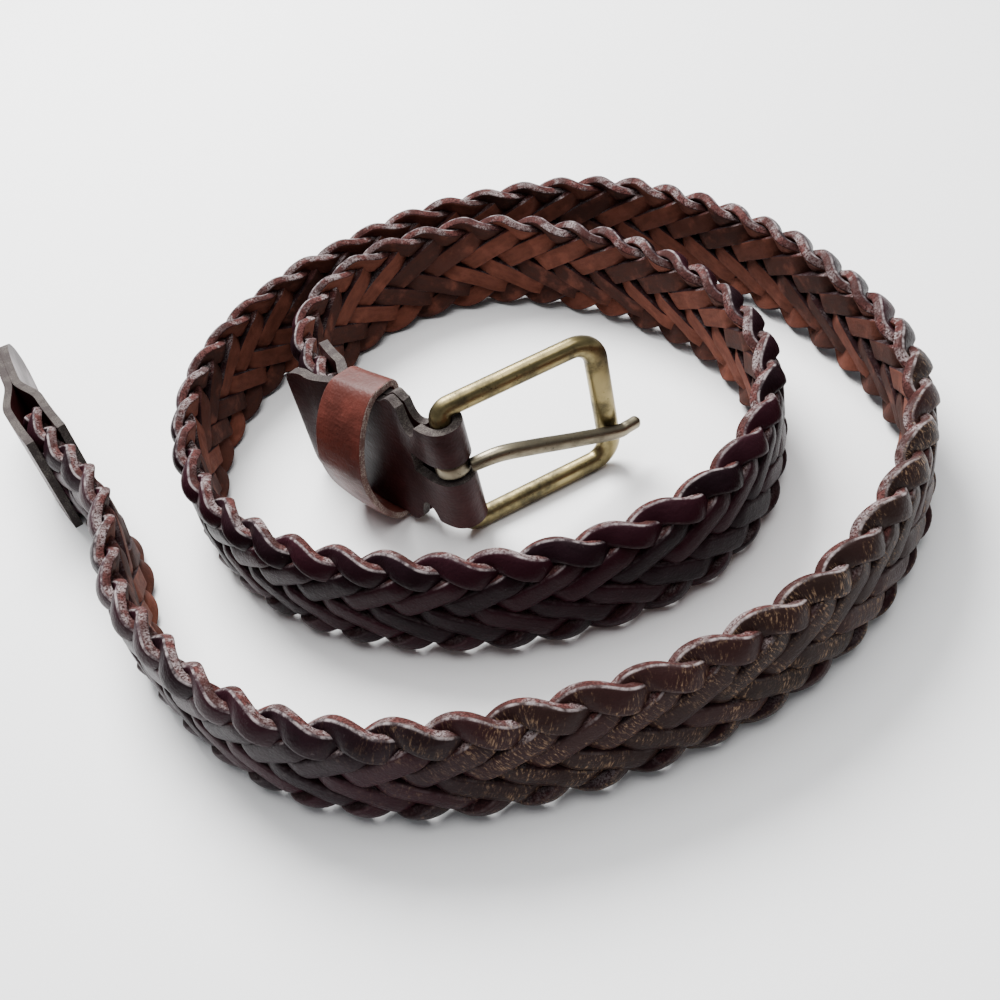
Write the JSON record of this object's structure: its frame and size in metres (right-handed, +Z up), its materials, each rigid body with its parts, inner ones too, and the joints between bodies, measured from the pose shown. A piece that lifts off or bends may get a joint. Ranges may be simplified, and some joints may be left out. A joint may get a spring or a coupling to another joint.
{
  "type": "braided leather belt",
  "caption": "Braided leather belt standing on its edge in a loose coil, with a leather keeper loop and a brass buckle whose frame and prong swing on one bar.",
  "frame": {"origin": "on the surface that the belt stands on, under the middle of its bounding box", "axes": "+Z up, along the belt's width; +Y away from the viewer of the picture; +X to the viewer's right"},
  "size_m": [0.2356, 0.1982, 0.0405],
  "materials": {
    "braid_leather": "semi-gloss",
    "tab_leather": "semi-gloss",
    "keeper_leather": "semi-gloss",
    "end_leather": "semi-gloss",
    "frame_brass": "antique",
    "prong_brass": "antique"
  },
  "bodies": {
    "strap": {"braid": "braid_leather", "buckle_tab": "tab_leather", "keeper": "keeper_leather", "end_tab": "end_leather"},
    "buckle": {"buckle_frame": "frame_brass"},
    "prong": {"prong": "prong_brass"}
  },
  "joints": [
    {"name": "buckle_hinge", "type": "hinge", "parent": "strap", "child": "buckle", "pos_m": [0.00679, -0.0153, 0.02025], "axis": [0, 0, 1], "range_deg": [-20, 80]},
    {"name": "prong_hinge", "type": "hinge", "parent": "buckle", "child": "prong", "pos_m": [0.00679, -0.0153, 0.02025], "axis": [0, 0, -1], "range_deg": [0, 45]}
  ]
}
